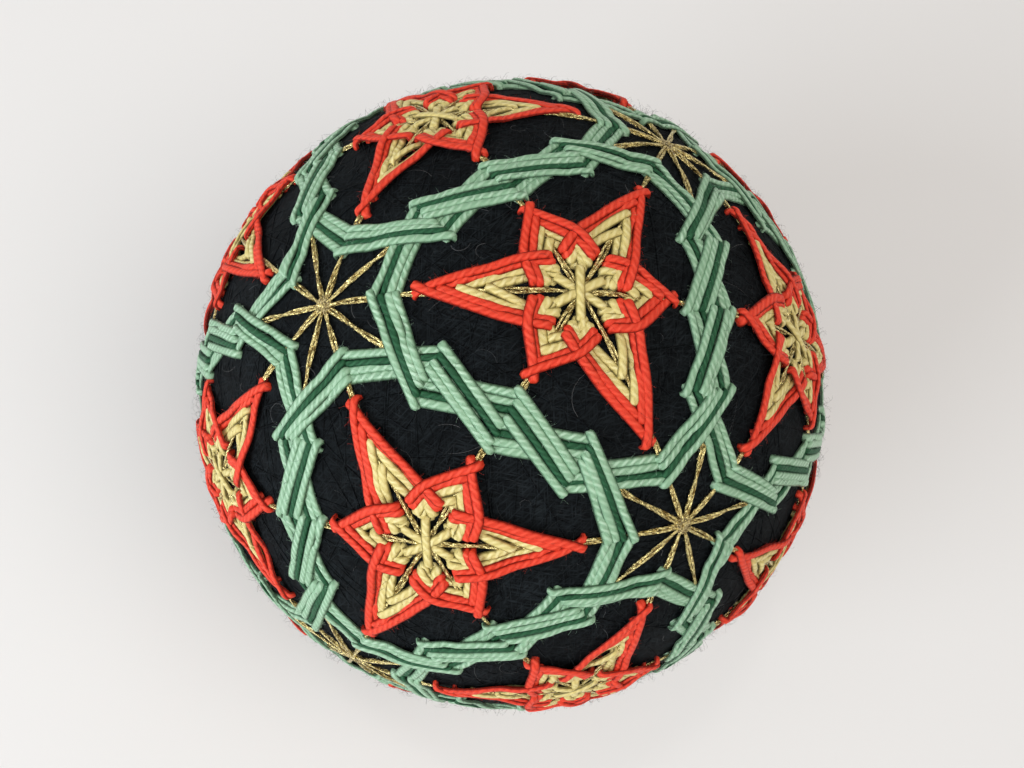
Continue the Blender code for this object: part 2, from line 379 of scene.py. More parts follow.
class Bed:
    """What lies on the ball so far: samples of laid thread, with the height of its middle line."""

    def __init__(self, room):
        self.ways = np.zeros((room, 3), np.float32)
        self.sizes = np.zeros((room, 3), np.float32)
        self.count = 0

    def add(self, ways, heights, half_width, half_thickness):
        last = self.count + len(ways)
        self.ways[self.count:last] = ways
        self.sizes[self.count:last] = np.stack([heights, half_width, half_thickness], 1)
        self.count = last

    def beside(self, thread):
        """The distances from a thread's samples to what lies near it, and the sizes of that."""
        middle = unit(thread.ways.mean(0))
        span = thread.along[-1] / 2 + NEARBY
        near = self.ways[:self.count] @ middle > math.cos(span / BALL_RADIUS)
        apart = np.sqrt(np.maximum(2 - 2 * thread.ways @ self.ways[:self.count][near].T, 0)) * BALL_RADIUS
        return apart, self.sizes[:self.count][near]

    def sunk(self, thread):
        """How much lower a thread lies under the threads that were laid over it later."""
        apart, sizes = self.beside(thread)
        higher = sizes[:, 0] > thread.heights[:, None] + COVERED_FROM
        over = higher & (apart < thread.half_width[:, None] * COVERED_WITHIN)
        return COVERED_SINKS * softened(over.any(1).astype(float))

    def lay(self, thread):
        """Rests a thread on what is there, taut between its highest places, and adds it."""
        need = thread.half_thickness * SEAT_SHARE
        apart, sizes = self.beside(thread)
        if len(sizes):
            reach = (thread.half_width[:, None] + sizes[:, 1]) * SIDE_BY_SIDE
            shape = np.sqrt(np.maximum(1 - (apart / reach) ** 2, 0))
            lift = sizes[:, 0] + (thread.half_thickness[:, None] + sizes[:, 2]) * shape * SQUEEZE
            need = np.maximum(need, np.where(shape > 0, lift, NO_LIFT).max(1))
        gaps = thread.along[:, None] - thread.along
        heights = softened((need - gaps ** 2 / (2 * TAUT_RADIUS)).max(1))
        from_end = np.minimum(thread.along, thread.along[-1] - thread.along)
        sink = np.clip(1 - from_end / DIVE, 0, 1) ** 2
        thread.heights = heights * (1 - sink) + DIVE_DEPTH * sink
        self.add(thread.ways, thread.heights, thread.half_width, thread.half_thickness)


def pressed(points):
    """Points about the ball's centre, with the stitching under it pressed into the room there is."""
    distance = np.linalg.norm(points, axis=-1)
    ways = points / distance[:, None]
    height = distance - BALL_RADIUS
    down = np.maximum(-ways[:, 2], 1e-6)
    room = REST_HEIGHT / down - BALL_RADIUS
    share = np.where(ways[:, 2] < 0, np.clip(room / PRESSED_FROM, 0, 1), 1)
    height = np.where(height > 0, np.minimum(height * share, room), height)
    return ways * (BALL_RADIUS + height)[:, None]


def new_object(name, data):
    made = bpy.data.objects.new(name, data)
    bpy.context.scene.collection.objects.link(made)
    return made


class Piece:
    """A mesh in the making: tubes of thread gathered into one object."""

    def __init__(self):
        self.points = []
        self.faces = []
        self.face_uvs = []
        self.caps = []
        self.laid = []
        self.threads = []
        self.count = 0

    def tube(self, points, up, half_width, half_thickness, sides, phase=0.0, closed=False):
        """A round or flattened tube along points, with its flat side across up."""
        if closed:
            tangent = unit(np.roll(points, -1, 0) - np.roll(points, 1, 0))
        else:
            tangent = unit(np.gradient(points, axis=0))
        side = unit(np.cross(up, tangent))
        lift = np.cross(tangent, side)
        turns = 2 * math.pi * np.arange(sides) / sides
        rings = (
            points[:, None]
            + side[:, None] * (half_width[:, None] * np.cos(turns))[..., None]
            + lift[:, None] * (half_thickness[:, None] * np.sin(turns))[..., None]
        )
        stations = len(points)
        steps = np.linalg.norm(np.diff(points, axis=0, append=points[:1]), axis=1)
        lengths = phase + np.concatenate([[0], np.cumsum(steps)])
        spans = stations if closed else stations - 1
        ring = np.arange(sides)
        for station in range(spans):
            here = self.count + station * sides
            there = self.count + (station + 1) % stations * sides
            beside = (ring + 1) % sides
            self.faces.append(np.stack([here + ring, here + beside, there + beside, there + ring], 1))
            low, high = lengths[station], lengths[station + 1]
            around = ring / sides
            further = (ring + 1) / sides
            self.face_uvs.append(np.stack([
                np.stack([around, np.full(sides, low)], 1), np.stack([further, np.full(sides, low)], 1),
                np.stack([further, np.full(sides, high)], 1), np.stack([around, np.full(sides, high)], 1),
            ], 1))
        if not closed:
            last = self.count + (stations - 1) * sides
            self.caps.append((self.count + ring)[::-1])
            self.caps.append(last + ring)
        self.points.append(rings.reshape(-1, 3))
        self.count += stations * sides

    def hairs(self, points, edges):
        """Narrow ribbons: points are by hair and station, edges run from them to one side."""
        count, stations = points.shape[:2]
        pairs = np.stack([points - edges, points + edges], 2).reshape(-1, 3)
        spans = np.arange(count)[:, None] * stations + np.arange(stations - 1)
        faces = self.count + 2 * spans.reshape(-1, 1) + np.array([0, 1, 3, 2])
        self.faces.append(faces)
        self.face_uvs.append(np.zeros((len(faces), 4, 2)))
        self.points.append(pairs)
        self.count += len(pairs)

    def thread(self, thread, sunk=0.0):
        heights = thread.heights
        heights = np.where(heights > FIRM, FIRM + (heights - FIRM) * GIVE, heights) - sunk
        points = thread.ways * (BALL_RADIUS + heights)[:, None]
        self.laid.append((thread.ways[3:-3], heights[3:-3]))
        self.tube(points, thread.ways, thread.half_width, thread.half_thickness, thread.sides, thread.phase)

    def finish(self, name, material, slot, replaced=()):
        """Makes the object in metres, riding on the body."""
        points = (pressed(np.concatenate(self.points)) + BALL_CENTRE) * MM
        quads = np.concatenate(self.faces)
        mesh = bpy.data.meshes.new(name)
        corners = np.concatenate([quads.ravel()] + self.caps)
        sizes = np.concatenate([np.full(len(quads), 4), [len(cap) for cap in self.caps]]).astype(np.int32)
        starts = np.concatenate([[0], np.cumsum(sizes)[:-1]]).astype(np.int32)
        mesh.vertices.add(len(points))
        mesh.vertices.foreach_set("co", points.astype(np.float32).ravel())
        mesh.loops.add(len(corners))
        mesh.loops.foreach_set("vertex_index", corners.astype(np.int32))
        mesh.polygons.add(len(sizes))
        mesh.polygons.foreach_set("loop_start", starts)
        uvs = np.zeros((len(corners), 2), np.float32)
        wrapped = np.concatenate(self.face_uvs).reshape(-1, 2)
        uvs[:len(wrapped)] = wrapped
        layer = mesh.uv_layers.new(name="thread")
        layer.data.foreach_set("uv", uvs.ravel())
        mesh.update(calc_edges=True)
        mesh.validate()
        mesh.shade_smooth()
        mesh.materials.append(material)
        made = new_object(name, mesh)
        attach(made, BODY)
        if replaced:
            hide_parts(*replaced)


# Materials

def node_maker(material):
    tree = material.node_tree

    def add(kind, settings=None, **inputs):
        node = tree.nodes.new(kind)
        for key, value in (settings or {}).items():
            setattr(node, key, value)
        for key, value in inputs.items():
            socket = node.inputs[int(key[1:])] if key[0] == "i" and key[1:].isdigit() else node.inputs[key]
            if isinstance(value, bpy.types.NodeSocket):
                tree.links.new(value, socket)
            else:
                socket.default_value = value
        return node

    return tree, add


def new_material(name, roughness, metallic=0.0):
    material = bpy.data.materials.new(name)
    material.use_nodes = True
    shader = material.node_tree.nodes["Principled BSDF"]
    shader.inputs["Roughness"].default_value = roughness
    shader.inputs["Metallic"].default_value = metallic
    return material, shader


def math_node(add, operation, first, second=0.0):
    return add("ShaderNodeMath", {"operation": operation}, i0=first, i1=second).outputs[0]


def noise(add, place, scale=1.0, detail=2.0, roughness=0.5, dimensions="3D"):
    node = add("ShaderNodeTexNoise", {"noise_dimensions": dimensions}, Vector=place, Scale=scale,
               Detail=detail, Roughness=roughness)
    return node.outputs["Fac"]


def mapped(add, value, low, high, to_low=0.0, to_high=1.0):
    """A value from low to high, mapped to another range and held inside it."""
    return add("ShaderNodeMapRange", i0=value, i1=low, i2=high, i3=to_low, i4=to_high).outputs[0]


def mixed(add, share, first, second):
    """The first colour, turned into the second by a share from 0 to 1."""
    return add("ShaderNodeMix", {"data_type": "RGBA"}, i0=share, i6=first, i7=second).outputs[2]


def twisted_cotton(name, crown, painted_groove_shade, painted_highlight, relief, roughness, gloss, twist):
    """Two plies turned round each other: each rises on one side, crosses over and sinks on the other. Its
    colour carries painted shade in the grooves and along the edges, and a painted highlight on the crowns.
    """
    material, shader = new_material(name, roughness)
    tree, add = node_maker(material)

    def times(first, second):
        return math_node(add, "MULTIPLY", first, second)

    def plus(first, second):
        return math_node(add, "ADD", first, second)

    place = add("ShaderNodeUVMap", {"uv_map": "thread"}).outputs[0]
    parts = add("ShaderNodeSeparateXYZ", i0=place)
    around, along = parts.outputs[0], parts.outputs[1]
    uneven_place = add("ShaderNodeCombineXYZ", i0=times(along, UNEVEN_RATE)).outputs[0]
    uneven = noise(add, uneven_place, dimensions="2D")
    phase = plus(times(along, -2 * math.pi / PLY_TURN), times(uneven, UNEVEN_TURN))
    aside = math_node(add, "COSINE", times(around, 2 * math.pi))
    sway = math_node(add, "COSINE", phase)
    rise = math_node(add, "SINE", phase)
    heights = []
    off_middles = []
    for side in (1, -1):
        off_middle = plus(times(aside, PLY_SHARE), times(sway, -side))
        off_middles.append(off_middle)
        bulge = times(times(off_middle, off_middle), PLY_FALL)
        heights.append(plus(plus(times(rise, 0.5 * side * PLY_RISE), 0.5), bulge))
    ply = add("ShaderNodeMath", {"operation": "SMOOTH_MAX"}, i0=heights[0], i1=heights[1],
              i2=PLY_BLEND).outputs[0]
    first_on_top = math_node(add, "GREATER_THAN", heights[0], heights[1])
    across = plus(off_middles[1], times(first_on_top, plus(off_middles[0], times(off_middles[1], -1.0))))
    fibre_place = add("ShaderNodeCombineXYZ", i0=times(across, FIBRES["across"]),
                      i1=times(along, FIBRES["along"]), i2=times(first_on_top, FIBRES["apart"])).outputs[0]
    fibres = noise(add, fibre_place, detail=3.0, roughness=0.7)
    # Painted shade: the groove shade's colour where the plies sink, the crown's where they rise
    depth = mapped(add, ply, *BODY_HEIGHTS)
    shade = times(depth, plus(times(fibres, FIBRES["shade"]), FIBRES["least_shade"]))
    slow_place = add("ShaderNodeCombineXYZ", i0=times(along, CLEAR_RATE), i1=CLEAR_ROW).outputs[0]
    slow = noise(add, slow_place, dimensions="2D")
    clear = mapped(add, slow, *CLEAR_NOISE, twist - CLEAR_VARIES, twist + CLEAR_VARIES)
    twisted = plus(times(plus(shade, -EVEN_SHADE), clear), EVEN_SHADE)
    shade = plus(twisted, times(plus(uneven, -0.5), UNEVEN_SHADE))
    body = mixed(add, shade, painted_groove_shade, crown)
    # A painted highlight on the highest parts of the plies
    top = mapped(add, plus(ply, times(fibres, FIBRES["painted_highlight"])), *PAINTED_HIGHLIGHT_HEIGHTS)
    with_painted_highlight = mixed(add, times(top, clear), body, painted_highlight)
    # Painted shade along both edges of the thread, where it meets its neighbours
    edge = mapped(add, math_node(add, "ABSOLUTE", aside), PAINTED_CREASE_FROM, 1.0)
    painted_crease_shade = tuple(PAINTED_CREASE_SHADE * part for part in painted_groove_shade[:3]) + (1.0,)
    tree.links.new(mixed(add, edge, with_painted_highlight, painted_crease_shade), shader.inputs["Base Color"])
    height = plus(times(ply, clear), times(fibres, FIBRES["relief"]))
    bump = add("ShaderNodeBump", Strength=1.0, Distance=relief * MM, Height=height)
    tree.links.new(bump.outputs[0], shader.inputs["Normal"])
    shader.inputs["Sheen Weight"].default_value = 0.2
    shader.inputs["Sheen Roughness"].default_value = 0.45
    shader.inputs["Sheen Tint"].default_value = crown
    shader.inputs["Specular IOR Level"].default_value = gloss
    return material


def gold_foil(name, painted_facet_shade, painted_glint, roughness):
    """A narrow foil wound round a core: crumpled facets, with a painted glint on some and painted shade on
    others and where its turns meet.
    """
    material, shader = new_material(name, roughness, FOIL["metallic"])
    tree, add = node_maker(material)
    place = add("ShaderNodeUVMap", {"uv_map": "thread"}).outputs[0]
    parts = add("ShaderNodeSeparateXYZ", i0=place)
    turn = math_node(add, "MULTIPLY", parts.outputs[0], 2 * math.pi)
    level = math_node(add, "COSINE", turn)
    rise = math_node(add, "SINE", turn)
    facet_place = add("ShaderNodeCombineXYZ", i0=math_node(add, "MULTIPLY", level, FOIL["facets_across"]),
                      i1=math_node(add, "MULTIPLY", rise, FOIL["facets_across"]),
                      i2=math_node(add, "MULTIPLY", parts.outputs[1], FOIL["facets_along"])).outputs[0]
    facets = noise(add, facet_place, FOIL["scale"], roughness=0.6)
    # The noise gives some facets a painted glint and others painted shade
    glint_share = mapped(add, facets, *FOIL["tones"])
    lag = math_node(add, "MULTIPLY", parts.outputs[1], -2 * math.pi / FOIL_TURN)
    phase = math_node(add, "ADD", turn, lag)
    wave = math_node(add, "ABSOLUTE", math_node(add, "SINE", phase))
    wrap = math_node(add, "POWER", wave, FOIL["edge"])
    # Painted shade also where the foil's turns meet
    shade = math_node(add, "MULTIPLY", wrap, glint_share)
    tree.links.new(mixed(add, shade, painted_facet_shade, painted_glint), shader.inputs["Base Color"])
    crumple = math_node(add, "MULTIPLY", facets, FOIL["facet_relief"])
    height = math_node(add, "ADD", math_node(add, "MULTIPLY", wrap, FOIL["turn_relief"]), crumple)
    bump = add("ShaderNodeBump", Strength=1.0, Distance=FOIL["relief"] * MM, Height=height)
    tree.links.new(bump.outputs[0], shader.inputs["Normal"])
    return material


def streaks(add, place, turn):
    """Fine lines that run round the ball's centre about one axis."""
    turned = add("ShaderNodeMapping", Vector=place, Rotation=turn).outputs[0]
    parts = add("ShaderNodeSeparateXYZ", i0=turned)
    bearing = math_node(add, "ARCTAN2", parts.outputs[1], parts.outputs[0])
    across = math_node(add, "MULTIPLY", parts.outputs[2], 1 / (STREAK_WIDTH * MM))
    along = math_node(add, "MULTIPLY", bearing, BALL_RADIUS / STREAK_LENGTH)
    spot = add("ShaderNodeCombineXYZ", i0=across, i1=along).outputs[0]
    return noise(add, spot, dimensions="2D")


def wound_black(name, dark, light, roughness):
    """Fine black thread in every direction, with lighter streaks of fibre: a paler tone of their own, with a
    painted sheen where they catch the light.
    """
    material, shader = new_material(name, roughness)
    tree, add = node_maker(material)
    place = add("ShaderNodeTexCoord").outputs["Object"]
    drift = noise(add, place, 160.0, 3.0)
    centre = tuple(BALL_CENTRE * MM)
    centred = add("ShaderNodeVectorMath", {"operation": "SUBTRACT"}, i0=place, i1=centre).outputs[0]
    grain = 0.0
    for turn in STREAK_TURNS:
        grain = math_node(add, "MAXIMUM", streaks(add, centred, turn), grain)
    # Lighter streaks: paler fibres, with a painted sheen where they catch the light
    shade = mapped(add, grain, *STREAK_TONES)
    shade = math_node(add, "MULTIPLY", shade, math_node(add, "MULTIPLY", drift, 2.0))
    tree.links.new(mixed(add, shade, dark, light), shader.inputs["Base Color"])
    bump = add("ShaderNodeBump", Strength=0.7, Distance=STREAK_RELIEF * MM, Height=grain)
    tree.links.new(bump.outputs[0], shader.inputs["Normal"])
    shader.inputs["Specular IOR Level"].default_value = 0.07
    return material


def plain_fibre(name, colour, roughness):
    material, shader = new_material(name, roughness)
    tree, add = node_maker(material)
    place = add("ShaderNodeTexCoord").outputs["Object"]
    darker = tuple(0.6 * part for part in colour[:3]) + (1.0,)
    tree.links.new(mixed(add, noise(add, place, 400.0), darker, colour), shader.inputs["Base Color"])
    shader.inputs["Specular IOR Level"].default_value = 0.2
    return material


MATERIALS = {
    # Cotton: the crown is the thread's own colour, the groove colour is painted shade and the highlight
    # colour a painted highlight
    "red": twisted_cotton(
        "red_thread", crown=(0.80, 0.052, 0.019, 1), painted_groove_shade=(0.50, 0.020, 0.008, 1),
        painted_highlight=(0.89, 0.095, 0.050, 1), relief=0.13, roughness=0.6, gloss=0.3, twist=0.6),
    "yellow": twisted_cotton(
        "yellow_thread", crown=(0.75, 0.63, 0.24, 1), painted_groove_shade=(0.44, 0.355, 0.11, 1),
        painted_highlight=(0.87, 0.79, 0.42, 1), relief=0.12, roughness=0.48, gloss=0.45, twist=0.55),
    "light": twisted_cotton(
        "light_green_thread", crown=(0.275, 0.485, 0.305, 1), painted_groove_shade=(0.145, 0.285, 0.17, 1),
        painted_highlight=(0.53, 0.75, 0.57, 1), relief=0.12, roughness=0.40, gloss=0.55, twist=0.54),
    "dark": twisted_cotton(
        "dark_green_thread", crown=(0.017, 0.092, 0.038, 1), painted_groove_shade=(0.007, 0.042, 0.018, 1),
        painted_highlight=(0.035, 0.14, 0.065, 1), relief=0.10, roughness=0.6, gloss=0.2, twist=0.6),
    # Gold: the dark colour is painted shade and the bright one a painted glint
    "gold": gold_foil("gold_thread", (0.21, 0.13, 0.028, 1), (1.0, 0.85, 0.38, 1), 0.22),
    "tack": gold_foil("tacking_thread", (0.12, 0.085, 0.03, 1), (0.85, 0.70, 0.36, 1), 0.35),
    "black": wound_black("black_thread", (0.0018, 0.0026, 0.0033, 1), (0.013, 0.017, 0.020, 1), 0.8),
    "fuzz": plain_fibre("black_fuzz", (0.022, 0.025, 0.027, 1), 0.8),
    "lint": plain_fibre("grey_lint", (0.17, 0.17, 0.175, 1), 0.8),
    "red_hair": plain_fibre("red_hair", (0.90, 0.09, 0.05, 1), 0.7),
    "yellow_hair": plain_fibre("yellow_hair", (0.80, 0.72, 0.40, 1), 0.7),
    "light_hair": plain_fibre("light_green_hair", (0.50, 0.74, 0.56, 1), 0.7),
    "dark_hair": plain_fibre("dark_green_hair", (0.06, 0.22, 0.12, 1), 0.7),
}
SLOTS = {
    "red": "red_thread",
    "yellow": "yellow_thread",
    "light": "light_green_thread",
    "dark": "dark_green_thread",
    "gold": "gold_thread",
    "black": "black_thread",
}


# Gold marking lines

def marking_circles():
    """The normals of the division's fifteen great circles, found from its edges."""
    normals = []
    for first, second in EDGES:
        normal = unit(first - second)
        if all(abs(normal @ known) < SAME_CIRCLE for known in normals):
            normals.append(normal)
    return normals


def lay_markings(bed, draw):
    """Lays both strands of every marking line, as runs of a rosette or of the line itself."""
    rosettes = [Piece() for _ in PENTAGONS]
    lines = []
    stations = int(2 * math.pi * BALL_RADIUS / MARKING_STEP)
    turn = 2 * math.pi * np.arange(stations) / stations
    for normal in marking_circles():
        line = Piece()
        first = PENTAGONS[np.argmin(np.abs(PENTAGONS @ normal))]
        axes = tangent_axes(normal, first)
        middle = np.cos(turn)[:, None] * axes[0] + np.sin(turn)[:, None] * axes[1]
        lap = draw.uniform(0, 2 * math.pi)
        twist = lap + turn * BALL_RADIUS * 2 * math.pi / MARKING_TURN / 2
        twist += TWIST_WAVE * np.sin(turn * TWIST_WAVES + lap)
        hidden = under_rings(middle)
        for strand in (0, math.pi):
            aside = MARKING_SPREAD * np.cos(twist + strand)
            waves = draw.integers(*WOBBLE_WAVES)
            wobble = WOBBLE * np.sin(turn * waves + draw.uniform(0, WOBBLE_STARTS))
            ways = unit(middle + normal * ((aside + wobble) / BALL_RADIUS)[:, None])
            heights = GOLD["thickness"] / 2 + MARKING_RISE * (1 + np.sin(twist + strand))
            heights[hidden] = HIDDEN_HEIGHT
            half_width = np.full(stations, GOLD["width"] / 2)
            half_thickness = np.full(stations, GOLD["thickness"] / 2)
            bed.add(ways, heights, half_width, half_thickness)
            owner = marking_owner(middle)
            phase = draw.uniform(0, PHASES)
            cut_runs(owner, ways, heights, half_width, half_thickness, line, rosettes, phase)
        lines.append(line)
    return lines, rosettes


def reach_of(ways, marks):
    """The distance from each way to the nearest of the marks."""
    return np.arccos(np.clip((ways @ marks.T).max(-1), -1, 1)) * BALL_RADIUS


def lies_between(ways, marks, others):
    """Whether a way lies on the shortest line from one of the marks to one of the others."""
    detour = reach_of(ways, marks) + reach_of(ways, others) - reach_of(marks[0], others)
    return detour < ON_LINE


def marking_owner(middle):
    """For each place on a line, the rosette that holds it, or -1 for the line itself."""
    nearest = (middle @ PENTAGONS.T).argmax(1)
    on_long = lies_between(middle, PENTAGONS, STARS)
    limit = np.where(on_long, ROSETTE_ON_LONG, ROSETTE_ON_SHORT)
    return np.where(reach_of(middle, PENTAGONS) < limit, nearest, -1)


def under_rings(middle):
    """Whether the rings' rows hide a place on a line."""
    reach = reach_of(middle, PENTAGONS)
    crossed = (reach > HIDDEN_ON_LONG[0]) & (reach < HIDDEN_ON_LONG[1])
    crossed &= lies_between(middle, PENTAGONS, STARS)
    followed = (reach > HIDDEN_ON_EDGE) & lies_between(middle, PENTAGONS, EDGE_MIDDLES)
    return crossed | followed | (reach_of(middle, EDGE_MIDDLES) < HIDDEN_ROUND_MIDDLE)


def cut_runs(owner, ways, heights, half_width, half_thickness, line, rosettes, phase):
    """Splits one strand where its owner changes, and adds each run to its piece."""
    count = len(owner)
    start = int(np.argmax(owner != np.roll(owner, 1)))
    order = (np.arange(count) + start) % count
    changes = [0] + [i for i in range(1, count) if owner[order[i]] != owner[order[i - 1]]] + [count]
    for first, last in zip(changes, changes[1:]):
        run = order[np.arange(first, last + 1) % count]
        held_by = owner[run[0]]
        piece = line if held_by < 0 else rosettes[held_by]
        points = ways[run] * (BALL_RADIUS + heights[run])[:, None]
        piece.tube(points, ways[run], half_width[run], half_thickness[run], GOLD["sides"], phase)


def tack(up, bed, draw):
    """The small tangle of pale stitches that holds the marking lines at a pentagon's centre."""
    piece = Piece()
    axes = tangent_axes(up, STARS[(STARS @ up).argmax()])
    for _ in range(TACK_STITCHES):
        bearing = draw.uniform(0, 360)
        start = polar(axes, bearing, TACK_REACH * draw.uniform(*TACK_SHARES))
        bearing += draw.choice((-1, 1)) * draw.uniform(*TACK_TURNS)
        end = polar(axes, bearing, TACK_REACH * draw.uniform(*TACK_SHARES))
        thread = Thread([start, end], TACKING, draw)
        bed.lay(thread)
        piece.thread(thread)
    return piece


# Stars

def strayed(way, axes, draw, shift=(0.0, 0.0)):
    """A way moved a little off its mark, after a shift in millimetres."""
    offset = (draw.normal(0, STRAY, 2) + shift) / BALL_RADIUS
    return unit(way + axes[0] * offset[0] + axes[1] * offset[1])


def leg(axes, notch_bearing, row, side):
    """Where a leg enters the ball: past a notch line, toward the next arm on that side."""
    aside = math.degrees(math.asin(row["aside"] / math.hypot(row["leg"], row["aside"])))
    return polar(axes, notch_bearing + side * aside, math.hypot(row["leg"], row["aside"]))


def foot(axes, bearing, reach, side):
    """Where the outermost row enters the ball, past its tip and a little to one side."""
    beyond = reach + FOOT_AHEAD
    aside = math.degrees(FOOT_ASIDE / (BALL_RADIUS * math.sin(beyond / BALL_RADIUS)))
    return polar(axes, bearing + side * aside, beyond)


def stitch_star(up, bed, draw):
    """All the rows of one star, in the order of stitching, by colour."""
    toward = PENTAGONS[(PENTAGONS @ up).argmax()]
    axes = tangent_axes(up, toward)
    pieces = {"red": Piece(), "yellow": Piece()}
    shifts = draw.normal(0, ARM_STRAYS, (6, 2))
    bulges = draw.normal(ARM_BOW, ARM_BOW_VARIES, (6, 2))
    bulges[1::2] *= SHORT_BOW_SHARE
    for row in STAR_ROWS:
        for arm in range(6):
            bearing = 60 * arm
            reach = row["short" if arm % 2 else "long"]
            mark = polar(axes, bearing, reach)
            tip = strayed(mark, axes, draw, shifts[arm] * reach / ARM_STRAYS_AT)
            for side, bulge in zip((-1, 1), bulges[arm]):
                notch = bearing + 30 * side
                cross = strayed(polar(axes, notch, row["cross"]), axes, draw)
                marks = [strayed(leg(axes, notch, row, side), axes, draw), cross, tip]
                past_tip = HIDDEN_FOOT
                if row is STAR_ROWS[-1]:
                    marks.append(unit(foot(axes, bearing, reach, -side) + tip - mark))
                    past_tip = 0.0
                thread = Thread(marks, COTTON, draw, 0, past_tip, -side * bulge)
                bed.lay(thread)
                pieces[row["colour"]].threads.append(thread)
    for ray in range(3):
        start = strayed(polar(axes, 30 + 60 * ray, RAY_REACH), axes, draw)
        end = strayed(polar(axes, 210 + 60 * ray, RAY_REACH), axes, draw)
        thread = Thread([start, end], COTTON, draw)
        bed.lay(thread)
        pieces["yellow"].threads.append(thread)
    return pieces


# Rings

def edge_way(middle, along_axis, across_axis, along, across):
    """The way at a distance along an edge of the division, and off it."""
    turn = along / BALL_RADIUS
    lift = across / BALL_RADIUS
    level = middle * math.cos(turn) + along_axis * math.sin(turn)
    return level * math.cos(lift) + across_axis * math.sin(lift)


def ring_turns(up, draw):
    """For each row of a ring, its turns in order, each with its kind."""
    corners = PENTAGONS[np.argsort(-(PENTAGONS @ up))[:3]]
    if np.dot(np.cross(corners[0], corners[1]), corners[2]) < 0:
        corners = corners[::-1]
    rows = []
    shifts = draw.normal(0, TURN_STRAYS, (3, 4, 2))
    for row in RING_ROWS:
        turns = []
        for shift, start, end in zip(shifts, corners, np.roll(corners, -1, 0)):
            middle = unit(start + end)
            along_axis = unit(end - start)
            across_axis = np.cross(middle, along_axis)
            tip = along_arc(start, up, [row["tip"]])[0]
            along = SIDE_ALONG + SIDE_SLANT * row["side"]
            places = [
                ("tip", tip),
                ("side", edge_way(middle, along_axis, across_axis, -along, row["side"])),
                ("middle", edge_way(middle, along_axis, across_axis, 0.0, row["middle"])),
                ("side", edge_way(middle, along_axis, across_axis, along, row["side"])),
            ]
            axes = tangent_axes(middle, end)
            turns += [(kind, strayed(way, axes, draw, moved)) for (kind, way), moved in zip(places, shift)]
        rows.append(turns)
    return rows


def stub(kind, row_number, passes_over):
    """How far a row runs past a turn: the row on the turn's outer side shows its end."""
    shown = len(RING_ROWS) - 1 if kind == "middle" else 0
    if row_number != shown:
        return HIDDEN_STUB
    return SHOWN_STUB if passes_over else UNDER_STUB


def stitch_rings(bed, draw):
    """Every ring's rows: first the stretches that pass under, then those that pass over."""
    pieces = [{"light": Piece(), "dark": Piece()} for _ in STARS]
    turns = [ring_turns(up, draw) for up in STARS]
    for passes_over in (False, True):
        for ring, rows in enumerate(turns):
            for number in reversed(range(len(RING_ROWS))):
                row = rows[number]
                for place, (kind, start) in enumerate(row):
                    if (place % 2 == 0) != passes_over:
                        continue
                    next_kind, end = row[(place + 1) % len(row)]
                    stubs = stub(kind, number, passes_over), stub(next_kind, number, passes_over)
                    colour = RING_ROWS[number]["colour"]
                    spool = DARK_COTTON if colour == "dark" else COTTON
                    thread = Thread([start, end], spool, draw, *stubs)
                    bed.lay(thread)
                    pieces[ring][colour].threads.append(thread)
    return pieces


# The wound ball and its lint

def random_ways(draw, count):
    return unit(draw.normal(size=(count, 3)))


def wind_ball(draw):
    """Turns of fine thread in every direction, each a three-sided strand on a great circle."""
    piece = Piece()
    turn = 2 * math.pi * np.arange(WINDING_STATIONS) / WINDING_STATIONS
    for normal in random_ways(draw, WINDING_TURNS):
        axes = tangent_axes(normal, unit(draw.normal(size=3)))
        lag = draw.uniform(0, 2 * math.pi)
        middle = np.cos(turn + lag)[:, None] * axes[0] + np.sin(turn + lag)[:, None] * axes[1]
        off = draw.normal(0, WINDING_OFF) + WINDING_SWAY * np.sin(2 * turn + draw.uniform(0, WAVE_STARTS))
        ways = unit(middle + normal * (off / BALL_RADIUS)[:, None])
        layer = draw.uniform(*WINDING_LAYERS)
        level = layer + WINDING_WAVE * np.sin(turn * draw.integers(*WINDING_WAVES) + lag)
        points = ways * (BALL_RADIUS + level)[:, None]
        half = np.full(WINDING_STATIONS, WINDING_WIDTH / 2 * draw.uniform(*WINDING_WIDTHS))
        across, through = half * WINDING_ACROSS, half * WINDING_THROUGH
        piece.tube(points, ways, across, through, 3, draw.uniform(0, PHASES), closed=True)
    return piece


def core_ball():
    """Makes a smooth ball among the wound turns, so that no gap between them is open."""
    mesh = bpy.data.meshes.new("wound_core")
    made = new_object("wound_core", mesh)
    shape = bmesh.new()
    place = Matrix.Translation(BALL_CENTRE * MM)
    bmesh.ops.create_icosphere(shape, subdivisions=5, radius=(BALL_RADIUS + CORE_DEPTH) * MM, matrix=place)
    shape.to_mesh(mesh)
    shape.free()
    mesh.shade_smooth()
    mesh.materials.append(MATERIALS["black"])
    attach(made, BODY)
    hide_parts("ball")


